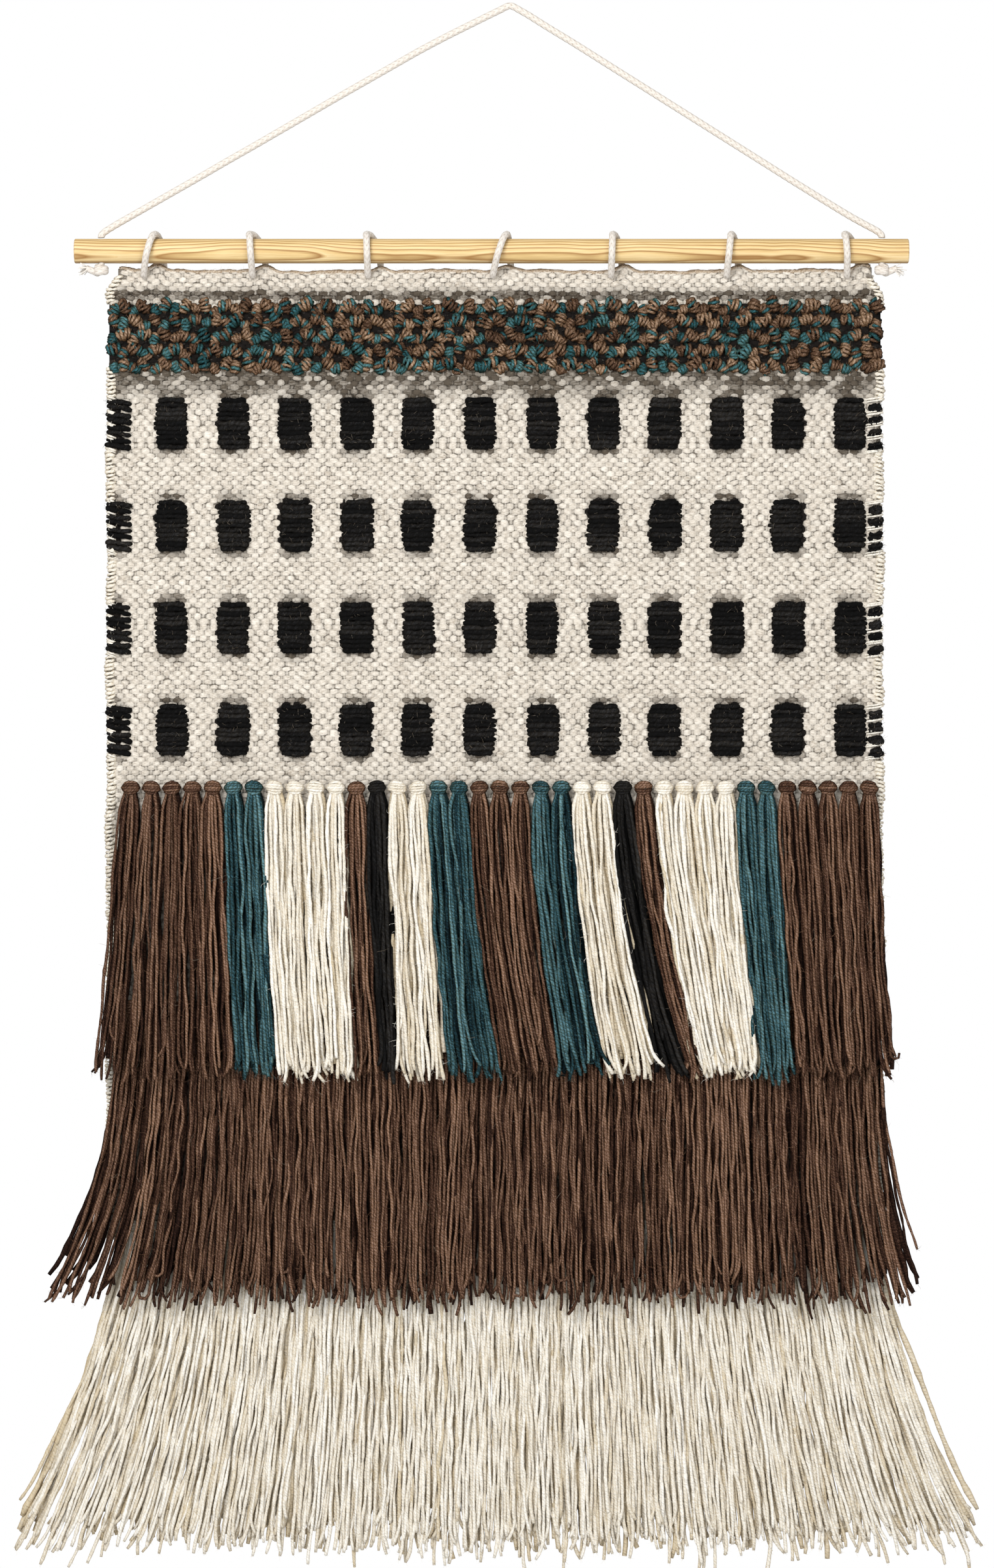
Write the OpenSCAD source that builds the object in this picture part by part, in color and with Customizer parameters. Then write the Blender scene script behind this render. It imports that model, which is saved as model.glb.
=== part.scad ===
// Tapestry wall hanging: a woven wool cloth laced to a pine rod that hangs from a cotton cord,
// with a band of bobbles, four rows of black blocks and three tiers of fringe.
// The origin is the nail, under the top of the cord. +Z is up and the front faces -Y.

/* [Rod] */
// Length of the rod
rod_length = 610; // [500:5:800]
// Diameter of the rod
rod_d = 18; // [14:1:24]
// How far the rod's middle is left of the nail
rod_shift = 13.5; // [0:0.5:20]
// Height of the nail above the rod's axis
rod_drop = 177; // [170:1:184]
// Distance from the rod's middle to each cord hole
hole_reach = 285.5; // [285:0.5:286]
// Diameter of the cord holes
hole_d = 5.6; // [5.6:0.1:7]

/* [Cords] */
// Diameter of the hanging cord and of the lacing cord
cord_d = 5; // [4:0.1:5]
// Number of loops that the lacing cord makes round the rod
loop_count = 7; // [2:1:7]

/* [Cloth] */
// Width of the cloth without its selvedges
cloth_w = 565; // [540:1:566]
// Thickness of the cloth
cloth_t = 2.6; // [2:0.1:3]
// Depth of the hem that is folded to the back
hem_h = 13; // [10:1:16]
// Diameter of the binding yarn on the selvedges
selvedge_d = 4; // [3.2:0.1:4.4]

/* [Bobbles and blocks] */
// Rows of bobbles
bobble_rows = 5; // [1:1:5]
// Bobbles in a full row
bobble_count = 38; // [30:1:38]
// Diameter of a bobble
bobble_d = 11.6; // [8:0.1:12]
// Rows of black blocks
block_rows = 4; // [1:1:4]
// Whole blocks in a row
block_count = 12; // [8:1:12]
// Width of a whole block
block_w = 23.6; // [16:0.2:26]
// Lines of yarn in a block
block_lines = 11; // [7:1:11]

/* [Fringes] */
// Distance from one fringe's knots to the next fringe's knots
tier_pitch = 160.5; // [158:0.5:170]
// Distance from one tassel to the next
tassel_pitch = 15; // [15:0.1:15.1]
// Length of the upper and middle tassels below their knots
tassel_l = 208; // [180:1:215]
// Length of the lower tassels below their knots
lower_tassel_l = 241; // [200:1:260]
// Front-to-back thickness of a tassel
tassel_t = 9; // [7:0.5:9]
// Diameter of a knot
knot_d = 10; // [9:0.5:10]

/* [Hidden] */
$fn = 48;
clear = 0.4;            // gap between pieces that move against each other
past = 1;               // how far a cutting shape runs past what it cuts

// Heights, measured down from the rod's axis
hem_top = 13;
lacing_level = 17.5;
corner_end = 21;
corner_foot = 30;
bobble_top = 40.9;
bobble_row_pitch = 10.7;
block_top = 109;
block_row_pitch = 74.8;
block_line_pitch = 3.4;
knot_line = 393.4;
cloth_h = knot_line + 2 * tier_pitch + 9;

// Places across and through the cloth
cloth_x = -11;
cloth_y = 4;            // front face of the cloth, behind the rod's axis
corner_inset = 6.5;
hem_back = cloth_y + 2 * cloth_t;
bobble_pitch = 14.9;
bobble_r = bobble_d / 2;
bobble_h = 8.3;
block_pitch = 45.2;
block_first = -237;
block_line_d = 3.8;
block_centre_y = cloth_y - 0.8;
edge_wraps = 4;
edge_wrap_pitch = 9.3;
left_wrap = [-282, -267.5];
right_wrap = [273.5, 282];

// The fringes
tassels = 37;
first_tassel = 3.6 - tassel_pitch * (tassels - 1) / 2;
knot_w = 12.4;
knot_y = cloth_y - clear - knot_d / 2;
knot_drop = [knot_line, knot_line + tier_pitch, knot_line + 2 * tier_pitch];
tier_lean = 3.7;        // the upper tiers lean out over the knots below them
tassel_gap = 0.5;
flare_power = 1.6;
flare_steps = 5;

// The upper fringe's groups: colour and number of tassels, then the groups' edges at the tips
groups = [
    ["brown", 5], ["teal", 2], ["cream", 4], ["brown", 1], ["black", 1],
    ["cream", 2], ["teal", 2], ["brown", 3], ["teal", 2], ["cream", 2],
    ["black", 1], ["brown", 1], ["cream", 4], ["teal", 2], ["brown", 5]
];
group_tips = [-291, -191, -158, -102, -84, -72, -34, 8, 48, 80, 119, 138, 150, 194, 218, 294];
middle_tips = [-324, 310];
lower_tips = [-350, 356];

// The hanging cord's route: along and up from the nail, in the plane of the rod's axis
cord_rise = rod_drop - rod_d / 2;
cord_route = [
    [-299, 0.7], [-299, 1.8], [-298.4, 3.2], [-296.6, 5], [-293, 7.4], [-286, 11.6], [-267, 22.4],
    [-247, 33.8], [-227, 45.2], [-207, 56.8], [-187, 68.2], [-167, 79.8], [-147, 91.4], [-127, 103],
    [-107, 114.4], [-87, 125.8], [-67, 137.2], [-47, 147.8], [-27, 157.8], [-14, 164.2], [-7, 167.6],
    [-3, 169.7], [0, 170.5], [3, 169.7], [7, 167.4], [14, 163.4], [27, 155.2], [47, 143], [67, 130.4],
    [87, 117.8], [107, 105.2], [127, 92.6], [147, 80], [167, 67.4], [187, 54.8], [207, 42.2],
    [227, 29.8], [247, 17.6], [259, 10.9], [265.6, 7.4], [269.6, 5], [271.4, 3.2], [272, 1.8],
    [272, 0.7]
];

// The lacing cord's loops: where each pierces the hem, and how far its top and its back lie to the right
loop_places = [-268, -188.5, -104, -12.5, 74, 158.6, 246.6];
loop_tops = [8, -2, -1, 10, 1, 3, -2];
loop_backs = [14, 9, 9, 13, 8, 9, 9];
loop_r = rod_d / 2 + cord_d / 2 + 0.85;
loop_start = 204;
loop_sweep = -204;
loop_turns = 8;
lacing_back_y = hem_back + cord_d / 2 + 0.3;

function group_name(i) = str("tassels_", i < 9 ? "0" : "", i + 1, "_", groups[i][0]);

// Colours
pine = [0.89, 0.72, 0.43];
cotton = [0.93, 0.89, 0.83];
natural = [0.83, 0.79, 0.72];
mixed = [0.35, 0.37, 0.36];
function yarn(name) =
    name == "brown" ? [0.30, 0.20, 0.16] :
    name == "teal" ? [0.13, 0.33, 0.38] :
    name == "cream" ? [0.93, 0.91, 0.85] : [0.05, 0.05, 0.06];

// ---- Cords ----

function unit(v) = v / norm(v);
function tangent(p, i) = unit(p[min(i + 1, len(p) - 1)] - p[max(i - 1, 0)]);
// An upright direction across the cord that never lines up with the cord itself
function across(t) = unit(cross(t, abs(t[0]) > 0.8 ? [0, 1, 0] : [1, 0, 0]));

// Carries the direction across the cord from one ring to the next without twisting it
function carried(p, i = 0, list = []) =
    i == len(p) ? list :
    let (t = tangent(p, i), last = i == 0 ? across(t) : list[i - 1])
    carried(p, i + 1, concat(list, [unit(last - (last * t) * t)]));

module tube(p, d, sides = 8) {
    u = carried(p);
    points = [
        for (i = [0 : len(p) - 1])
            let (v = cross(tangent(p, i), u[i]))
            for (k = [0 : sides - 1])
                p[i] + d / 2 * (cos(360 * k / sides) * u[i] + sin(360 * k / sides) * v)
    ];
    last = (len(p) - 1) * sides;
    faces = concat(
        [[for (k = [0 : sides - 1]) k]],
        [for (i = [0 : len(p) - 2]) for (k = [0 : sides - 1])
            [i * sides + k, (i + 1) * sides + k,
             (i + 1) * sides + (k + 1) % sides, i * sides + (k + 1) % sides]],
        [[for (k = [sides - 1 : -1 : 0]) last + k]]
    );
    polyhedron(points, faces, convexity = 6);
}

module hanging_cord() {
    color(cotton)
        tube([for (q = cord_route) [q[0], 0, q[1] - cord_rise]], cord_d);
}

// One loop of the lacing: through the hem, round the rod and down behind it
function loop_points(i) =
    let (x = loop_places[i], top = loop_tops[i], back = loop_backs[i], z = -lacing_level)
    concat(
        [[x - 5, lacing_back_y, z], [x - 1.6, lacing_back_y - 1.4, z], [x, lacing_back_y - 5, z],
         [x, cloth_y - 1.5, z], [x + 0.04 * top, cloth_y - 5.6, z + 1.8]],
        [for (k = [0 : loop_turns])
            let (share = k / loop_turns, a = loop_start + loop_sweep * share,
                 side = share < 0.5 ? top * (0.3 + 1.4 * share) : top + (back - top) * (2 * share - 1))
            [x + side, loop_r * cos(a), loop_r * sin(a)]],
        [[x + back, lacing_back_y, -9], [x + back + 1.2, lacing_back_y, z + 3],
         [x + back + 4.4, lacing_back_y, z]]
    );

module lacing_cord() {
    color(cotton)
        translate([0, 0, -rod_drop])
            tube([for (i = [0 : loop_count - 1]) each loop_points(i)], cord_d);
}

// The stretch of cord in a rod hole, its stopper knot of two turns and its tail
module cord_end(side) {
    knot_r = 3;
    turn_h = 4.4;
    tail_l = side > 0 ? 11 : 7;
    color(cotton)
        translate([-rod_shift + side * hole_reach, 0, -rod_drop]) {
            translate([0, 0, -rod_d / 2 - 2.2 * turn_h])
                cylinder(h = rod_d + 2.2 * turn_h - clear, d = cord_d);
            for (turn = [0, 1])
                translate([0, 0, -rod_d / 2 - cord_d / 2 - 0.2 - turn * turn_h])
                    rotate_extrude()
                        translate([knot_r, 0])
                            circle(d = cord_d);
            translate([0, 0, -rod_d / 2 - cord_d / 2 - 1])
                rotate([0, side * 100, 0])
                    cylinder(h = tail_l, d = cord_d - 0.4);
        }
}

// ---- Rod ----

module rod() {
    chamfer = 0.6;
    color(pine)
        translate([-rod_shift, 0, -rod_drop])
            difference() {
                rotate([0, 90, 0]) {
                    cylinder(h = rod_length - 2 * chamfer, d = rod_d, center = true);
                    for (end = [0, 1])
                        mirror([0, 0, end])
                            translate([0, 0, rod_length / 2 - chamfer])
                                cylinder(h = chamfer, d1 = rod_d, d2 = rod_d - 2 * chamfer);
                }
                for (side = [-1, 1])
                    translate([side * hole_reach, 0, 0])
                        cylinder(h = rod_d + 2 * past, d = hole_d, center = true);
            }
}

// ---- Cloth ----

// Puts what is drawn in the cloth's own frame, level with the rod's axis, in its place
module at_cloth() {
    translate([cloth_x, 0, -rod_drop])
        children();
}

// A flat outline in the plane of the cloth, given depth from front to back
module upright(front, back) {
    translate([0, back, 0])
        rotate([90, 0, 0])
            linear_extrude(back - front)
                children();
}

module ground_weave() {
    edge = cloth_w / 2;
    color(natural)
        difference() {
            at_cloth() {
                upright(cloth_y, cloth_y + cloth_t)
                    polygon([
                        [-edge + corner_inset, -hem_top - cloth_t], [-edge + corner_inset, -corner_end],
                        [-edge, -corner_foot], [-edge, -cloth_h], [edge, -cloth_h], [edge, -corner_foot],
                        [edge - corner_inset, -corner_end], [edge - corner_inset, -hem_top - cloth_t]
                    ]);
                translate([0, cloth_y + cloth_t, 0])
                    hem(edge - corner_inset);
            }
            for (i = [0 : loop_count - 1])
                translate([loop_places[i], 0, -rod_drop - lacing_level])
                    rotate([-90, 0, 0])
                        cylinder(h = hem_back + past, d = cord_d + 2 * clear);
        }
}

// The rounded top edge and the layer folded down behind it
module hem(half_w) {
    translate([-half_w, 0, 0]) {
        translate([0, 0, -hem_top - cloth_t])
            rotate([0, 90, 0])
                cylinder(h = 2 * half_w, r = cloth_t);
        translate([0, 0, -hem_top - hem_h])
            cube([2 * half_w, cloth_t, hem_h - cloth_t]);
    }
}

// Binding yarn along one side of the cloth, flat where it meets the cloth
module selvedge(side) {
    edge = cloth_w / 2;
    color(cotton)
        at_cloth()
            intersection() {
                translate([side * edge, cloth_y + cloth_t / 2, -cloth_h])
                    cylinder(h = cloth_h - corner_foot, d = selvedge_d);
                translate([side > 0 ? edge : -edge - selvedge_d, 0, -cloth_h])
                    cube([selvedge_d, hem_back + selvedge_d, cloth_h]);
            }
}

// ---- Bobbles and blocks ----

// One bobble, bulging forward from the face of the cloth
module bobble() {
    rotate([90, 0, 0])
        rotate_extrude()
            polygon([
                [0, 0], [0.85 * bobble_r, 0], [bobble_r, 0.3 * bobble_h], [0.93 * bobble_r, 0.6 * bobble_h],
                [0.6 * bobble_r, 0.9 * bobble_h], [0, bobble_h]
            ]);
}

module bobble_row(row) {
    count = bobble_count - row % 2;
    color(mixed)
        at_cloth()
            for (i = [0 : count - 1])
                translate([
                    (i - (count - 1) / 2) * bobble_pitch, cloth_y, -bobble_top - row * bobble_row_pitch
                ])
                    bobble();
}

// Lines of yarn that lie one under the other between two places across the cloth
module yarn_lines(from, to, top, lines) {
    for (i = [0 : lines - 1])
        translate([from, block_centre_y, -top - i * block_line_pitch])
            rotate([0, 90, 0])
                cylinder(h = to - from, d = block_line_d);
}

module block_row(row) {
    top = block_top + row * block_row_pitch;
    color(yarn("black"))
        at_cloth()
            difference() {
                union() {
                    for (i = [0 : block_count - 1])
                        yarn_lines(block_first + i * block_pitch - block_w / 2,
                                   block_first + i * block_pitch + block_w / 2, top, block_lines);
                    for (span = [left_wrap, right_wrap])
                        for (i = [0 : edge_wraps - 1])
                            yarn_lines(span[0], span[1], top + i * edge_wrap_pitch, 2);
                }
                translate([-cloth_w, cloth_y, -cloth_h])
                    cube([2 * cloth_w, block_line_d, cloth_h]);
            }
}

// ---- Fringes ----

function tassel_x(i) = first_tassel + i * tassel_pitch;
// The number of tassels before each group, with the total at the end
function before(g) = g == 0 ? 0 : before(g - 1) + groups[g - 1][1];
function group_of(i, g = 0) = i < before(g + 1) ? g : group_of(i, g + 1);

// One knot: a barrel that lies along the row, so that it can turn in its place
module knot(i) {
    r = knot_d / 2;
    bevel = 1.2;
    translate([tassel_x(i), 0, 0])
        rotate([0, 90, 0])
            rotate_extrude()
                polygon([
                    [0, -knot_w / 2], [r - bevel, -knot_w / 2], [r, -knot_w / 2 + bevel],
                    [r, knot_w / 2 - bevel], [r - bevel, knot_w / 2], [0, knot_w / 2]
                ]);
}

// Draws in the frame of one tier's knots: 0 is the upper tier, 1 the middle and 2 the lower
module at_tier(tier) {
    at_cloth()
        translate([0, knot_y, -knot_drop[tier]])
            children();
}

module knots(tier, colour, which) {
    color(yarn(colour))
        at_tier(tier)
            for (i = which)
                knot(i);
}

// The outline of a tassel that hangs from its knot and spreads to the tips it is given
module tassel_outline(i, tips, length) {
    function side(from, to, share) = [from + (to - from) * pow(share, flare_power), -share * length];
    half = (tassel_pitch - tassel_gap) / 2;
    left = [for (k = [0 : flare_steps]) side(tassel_x(i) - half, tips[0] + tassel_gap / 2, k / flare_steps)];
    right = [for (k = [flare_steps : -1 : 0]) side(tassel_x(i) + half, tips[1] - tassel_gap / 2, k / flare_steps)];
    polygon(concat(left, right));
}

// A tassel, hollowed at the top to clear its knot, that leans out by the given angle
module tassel(i, tips, length, lean) {
    rotate([-lean, 0, 0])
        difference() {
            upright(-tassel_t / 2, tassel_t / 2)
                tassel_outline(i, tips, length);
            translate([tassel_x(i), 0, 0])
                rotate([0, 90, 0])
                    cylinder(h = tassel_pitch + past, d = knot_d + 2 * clear, center = true);
        }
}

// The tips of the tassel at this place among count tassels that share a span
function tip_span(place, count, span) =
    let (w = (span[1] - span[0]) / count)
    [span[0] + place * w, span[0] + (place + 1) * w];

module tassel_group(g) {
    color(yarn(groups[g][0]))
        at_tier(0)
            for (k = [0 : groups[g][1] - 1])
                tassel(before(g) + k, tip_span(k, groups[g][1], [group_tips[g], group_tips[g + 1]]),
                       tassel_l, tier_lean);
}

module whole_tier(tier, colour, span, length, lean) {
    color(yarn(colour))
        at_tier(tier)
            for (i = [0 : tassels - 1])
                tassel(i, tip_span(i, tassels, span), length, lean);
}

function of_colour(name) = [for (i = [0 : tassels - 1]) if (groups[group_of(i)][0] == name) i];
all_tassels = [for (i = [0 : tassels - 1]) i];

hanging_cord();
rod();
cord_end(-1);  // left_cord_end
cord_end(1);  // right_cord_end
lacing_cord();
ground_weave();
selvedge(-1);  // left_selvedge
selvedge(1);  // right_selvedge
for (r = [0 : bobble_rows - 1])
    bobble_row(r);
for (r = [0 : block_rows - 1])
    block_row(r);
for (c = ["brown", "teal", "cream", "black"])
    knots(0, c, of_colour(c));
for (g = [0 : len(groups) - 1])
    tassel_group(g);
knots(1, "brown", all_tassels);  // middle_knots
whole_tier(1, "brown", middle_tips, tassel_l, tier_lean);  // middle_tassels
knots(2, "cream", all_tassels);  // lower_knots
whole_tier(2, "cream", lower_tips, lower_tassel_l, 0);  // lower_tassels
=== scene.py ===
"""Looks of the tapestry wall hanging: braided cords, a pine rod, woven cloth, bobbles, blocks and fringes.

Everything is in metres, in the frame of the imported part: the nail is at the origin, +Z is up and the
front faces -Y.
"""
import math

import bpy
import numpy as np
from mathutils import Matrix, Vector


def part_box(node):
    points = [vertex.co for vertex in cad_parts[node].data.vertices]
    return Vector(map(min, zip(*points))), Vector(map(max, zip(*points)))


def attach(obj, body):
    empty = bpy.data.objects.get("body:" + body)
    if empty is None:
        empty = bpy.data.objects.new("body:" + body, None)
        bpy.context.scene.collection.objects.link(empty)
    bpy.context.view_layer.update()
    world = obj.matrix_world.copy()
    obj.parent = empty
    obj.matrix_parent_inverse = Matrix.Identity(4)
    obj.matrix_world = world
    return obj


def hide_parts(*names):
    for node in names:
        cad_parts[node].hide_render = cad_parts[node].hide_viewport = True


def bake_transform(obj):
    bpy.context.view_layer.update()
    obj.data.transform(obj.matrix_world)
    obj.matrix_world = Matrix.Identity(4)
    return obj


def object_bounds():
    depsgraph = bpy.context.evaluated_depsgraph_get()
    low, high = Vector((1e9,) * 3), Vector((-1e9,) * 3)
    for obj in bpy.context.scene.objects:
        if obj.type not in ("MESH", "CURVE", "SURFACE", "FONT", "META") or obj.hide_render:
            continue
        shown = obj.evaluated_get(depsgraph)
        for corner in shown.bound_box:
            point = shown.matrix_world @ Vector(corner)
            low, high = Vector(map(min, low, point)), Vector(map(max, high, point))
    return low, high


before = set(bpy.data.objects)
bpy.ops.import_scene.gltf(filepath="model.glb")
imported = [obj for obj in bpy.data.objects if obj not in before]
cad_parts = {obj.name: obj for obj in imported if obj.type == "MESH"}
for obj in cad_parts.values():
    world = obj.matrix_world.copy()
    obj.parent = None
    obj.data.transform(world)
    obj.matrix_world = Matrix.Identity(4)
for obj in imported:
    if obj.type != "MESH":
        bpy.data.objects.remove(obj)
cad_low, cad_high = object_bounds()

MM = 0.001
scene = bpy.context.scene
rng = np.random.default_rng(1926)

# ---- Places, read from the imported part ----


def box(node):
    """The lowest and highest corner of a node at rest."""
    low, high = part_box(node)
    return np.array(low), np.array(high)


rod_low, rod_high = box("rod")
ROD_R = (rod_high[2] - rod_low[2]) / 2
ROD_Z = (rod_high[2] + rod_low[2]) / 2

cloth_low, cloth_high = box("ground_weave")
CLOTH_X = (cloth_low[0] + cloth_high[0]) / 2
CLOTH_HALF = (cloth_high[0] - cloth_low[0]) / 2
CLOTH_FRONT = cloth_low[1]
CLOTH_T = (cloth_high[1] - cloth_low[1]) / 2
HEM_TOP = cloth_high[2]
HEM_DEPTH = 13 * MM
CORD_D = 5 * MM

TIER_Y, TIER_Z = {}, {}
for tier, row in (("upper", "upper_knots_brown"), ("middle", "middle_knots"), ("lower", "lower_knots")):
    _, TIER_Y[tier], TIER_Z[tier] = np.mean(box(row), axis=0)

TASSELS = 37
TASSEL_PITCH = 15 * MM
KNOT_WIDTH = 12.4 * MM
knots_low, knots_high = box("middle_knots")
tassel_x = np.linspace(knots_low[0], knots_high[0] - KNOT_WIDTH, TASSELS) + KNOT_WIDTH / 2


def foot_span(node):
    """Where a node's lowest points start and end along X."""
    points = np.array([v.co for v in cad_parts[node].data.vertices])
    at_foot = points[points[:, 2] < points[:, 2].min() + 2 * MM]
    return at_foot[:, 0].min(), at_foot[:, 0].max()


# ---- Camera ----

VIEW_HEIGHT = 1.1476
VIEW_CENTRE = (-9.5 * MM, -567 * MM)
CAMERA_DISTANCE = 3.6
SENSOR = 36

camera = bpy.data.objects.new("camera", bpy.data.cameras.new("camera"))
scene.collection.objects.link(camera)
camera.location = (VIEW_CENTRE[0], -CAMERA_DISTANCE, VIEW_CENTRE[1])
camera.rotation_euler = (math.pi / 2, 0, 0)
camera.data.sensor_width = SENSOR
camera.data.lens = SENSOR * CAMERA_DISTANCE / VIEW_HEIGHT
scene.camera = camera


# ---- Shapes and meshes ----


def wave(x, length, phase=0):
    """A wave along x that takes length millimetres for each radian."""
    return np.sin(x / (length * MM) + phase)


def bell(x, width):
    """1 where x is 0, fading out over some width in millimetres on both sides."""
    return np.exp(-((x / (width * MM)) ** 2))


def unit(v):
    return v / np.maximum(np.linalg.norm(v, axis=-1, keepdims=True), 1e-12)


def through(points, step):
    """A smooth line through given points, with its own points evenly spaced."""
    p = np.asarray(points, float)
    p = np.vstack([2 * p[0] - p[1], p, 2 * p[-1] - p[-2]])
    t = np.linspace(0, 1, 12, endpoint=False)[:, None]
    spans = []
    for a, b, c, d in zip(p, p[1:], p[2:], p[3:]):
        square = t**2 * (a - 2.5 * b + 2 * c - d / 2)
        cube = t**3 * (1.5 * (b - c) + (d - a) / 2)
        spans.append(b + t * (c - a) / 2 + square + cube)
    line = np.vstack(spans + [p[-2:-1]])
    travelled = travel(line[None])[0]
    even = np.linspace(0, travelled[-1], max(3, int(round(travelled[-1] / step)) + 1))
    return np.stack([np.interp(even, travelled, line[:, k]) for k in range(3)], axis=1)


def travel(lines):
    """How far along its line each point is."""
    steps = np.linalg.norm(np.diff(lines, axis=1), axis=2)
    return np.concatenate([np.zeros((len(lines), 1)), np.cumsum(steps, axis=1)], axis=1)


def rings(lines, reach, turn):
    """Rings of points round each line. lines is (line, ring, 3); reach and turn are (line, ring, corner)."""
    tangent = unit(np.gradient(lines, axis=1))
    side = np.empty_like(lines)
    start = np.where(np.abs(tangent[:, :1, 1]) > 0.9, 1.0, 0.0)
    first = np.concatenate([start, 1 - start, 0 * start], axis=1)
    side[:, 0] = unit(first - (first * tangent[:, 0]).sum(-1, keepdims=True) * tangent[:, 0])
    for k in range(1, lines.shape[1]):
        last, t = side[:, k - 1], tangent[:, k]
        side[:, k] = unit(last - (last * t).sum(-1, keepdims=True) * t)
    up = np.cross(tangent, side)
    out = np.cos(turn)[..., None] * side[:, :, None] + np.sin(turn)[..., None] * up[:, :, None]
    return lines[:, :, None] + reach[..., None] * out


def tube_quads(count, ring_count, corners, capped=True):
    """The faces of tubes, all quads. Capped tubes have an even number of corners."""
    ring = np.arange(corners)
    after = np.roll(ring, -1)
    base = (np.arange(count)[:, None, None] * ring_count + np.arange(ring_count - 1)[None, :, None]) * corners
    wall = np.stack([base + ring, base + after, base + corners + after, base + corners + ring], axis=-1)
    if not capped:
        return wall.reshape(-1, 4)
    fan = np.array([[0, k, k + 1, k + 2] for k in range(1, corners - 2, 2)])
    first = np.arange(count)[:, None, None] * ring_count * corners
    caps = [first + fan[None, :, ::-1], first + (ring_count - 1) * corners + fan[None]]
    return np.vstack([wall.reshape(-1, 4)] + [c.reshape(-1, 4) for c in caps])


class Yarns:
    """Gathers tubes and humps into one mesh, with the values that the yarn materials read at each point."""

    def __init__(self):
        self.points, self.quads, self.size = [], [], 0
        self.values = {"round": [], "crest": [], "tint": [], "dye": []}

    def add(self, points, quads, crest=1.0, tint=0.5, dye=0.0, around=(1.0, 0.0, 0.0)):
        """Adds a shape. crest: 0 in a hollow to 1. tint: dark to light. dye: first colour to second."""
        count = len(points)
        self.points.append(points)
        self.quads.append(quads + self.size)
        for key, value in (("crest", crest), ("tint", tint), ("dye", dye)):
            self.values[key].append(np.broadcast_to(value, (count,)).astype(np.float32))
        self.values["round"].append(np.broadcast_to(around, (count, 3)).astype(np.float32))
        self.size += count

    def tubes(self, lines, reach, turn, crest, tint, dye=0.0, fine=False):
        """Adds a tube along each line, with one tint and dye a line. Fine ones are open and have no twist."""
        shape = rings(lines, reach, turn)
        n, m, s = shape.shape[:3]

        def spread(values):
            return np.broadcast_to(np.asarray(values, float).reshape(-1, 1, 1), (n, m, s)).ravel()

        along = travel(lines) + rng.uniform(0, 1, (n, 1))
        around = np.stack(np.broadcast_arrays(np.cos(turn), np.sin(turn), along[..., None]), axis=-1)
        around = (1.0, 0.0, 0.0) if fine else around.reshape(-1, 3)
        crest = np.broadcast_to(crest, (n, m, s)).ravel()
        quads = tube_quads(n, m, s, not fine)
        self.add(shape.reshape(-1, 3), quads, crest, spread(tint), spread(dye), around)

    def object(self, name, material):
        points, quads = np.vstack(self.points), np.vstack(self.quads)
        values = {key: np.concatenate(parts) for key, parts in self.values.items()}
        return mesh_object(name, points, quads, material, values)


def mesh_object(name, points, quads, material, values=None):
    """A smooth mesh of quads with float values on its points."""
    mesh = bpy.data.meshes.new(name)
    mesh.vertices.add(len(points))
    mesh.vertices.foreach_set("co", np.ascontiguousarray(points, np.float32).ravel())
    mesh.loops.add(quads.size)
    mesh.loops.foreach_set("vertex_index", np.ascontiguousarray(quads, np.int32).ravel())
    mesh.polygons.add(len(quads))
    mesh.polygons.foreach_set("loop_start", np.arange(0, quads.size, 4, dtype=np.int32))
    mesh.update(calc_edges=True)
    mesh.polygons.foreach_set("use_smooth", np.ones(len(quads), bool))
    for key, value in (values or {}).items():
        kind, field = ("FLOAT", "value") if value.ndim == 1 else ("FLOAT_VECTOR", "vector")
        layer = mesh.attributes.new(key, kind, "POINT")
        layer.data.foreach_set(field, np.ascontiguousarray(value, np.float32).ravel())
    mesh.materials.append(material)
    made = bpy.data.objects.new(name, mesh)
    scene.collection.objects.link(made)
    return made


# ---- Yarn, fibres and cord ----

ROUND_CORNERS = 6
FIBRE_CORNERS = 3


def add_yarn(yarns, lines, radius, tint=0.5, dye=0.0, wander=0.13, end=0.82):
    """Yarn of wandering thickness along each line, thinner at its cut ends. radius is in millimetres."""
    n = len(lines)
    corner = np.arange(ROUND_CORNERS) * 2 * np.pi / ROUND_CORNERS
    swell = wave(travel(lines), rng.uniform(9, 16, (n, 1)), rng.uniform(0, 7, (n, 1)))
    thick = radius * MM * (1 + wander * swell)
    thick *= 1 + wander * rng.normal(0, 0.8, thick.shape)
    thick[:, 0] *= end
    thick[:, -1] *= end
    turn = np.broadcast_to(corner, (*thick.shape, ROUND_CORNERS))
    yarns.tubes(lines, np.repeat(thick[..., None], ROUND_CORNERS, axis=-1), turn, 1.0, tint, dye)


def add_fibres(yarns, lines, count, reach, stand, tint=1.0, dye=0.0, radius=0.085):
    """Loose curved fibres off the lines: up to reach millimetres long, standing out by stand millimetres."""
    n, m, _ = lines.shape
    root = lines[rng.integers(0, n, count), rng.integers(0, m, count)]
    out = unit(rng.normal(size=(count, 3)) * (1, 0.4, 0.7) - (0, 0.7, 0))
    along = unit(rng.normal(size=(count, 3)) * (0.6, 0.35, 1))
    size = rng.uniform(0.35, 1, (count, 1)) * (reach * MM)
    share = np.linspace(0, 1, 3)[None, :, None]
    bow = np.sin(share * np.pi * 0.7)
    fibres = root[:, None] + out[:, None] * bow * (stand * MM) + along[:, None] * share * size[:, None]
    thin = radius * MM * (1 - 0.7 * share) * np.ones((count, 1, FIBRE_CORNERS))
    corner = np.arange(FIBRE_CORNERS) * 2 * np.pi / FIBRE_CORNERS
    yarns.tubes(fibres, thin, np.broadcast_to(corner, thin.shape), 1.0, tint, dye, fine=True)


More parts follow.
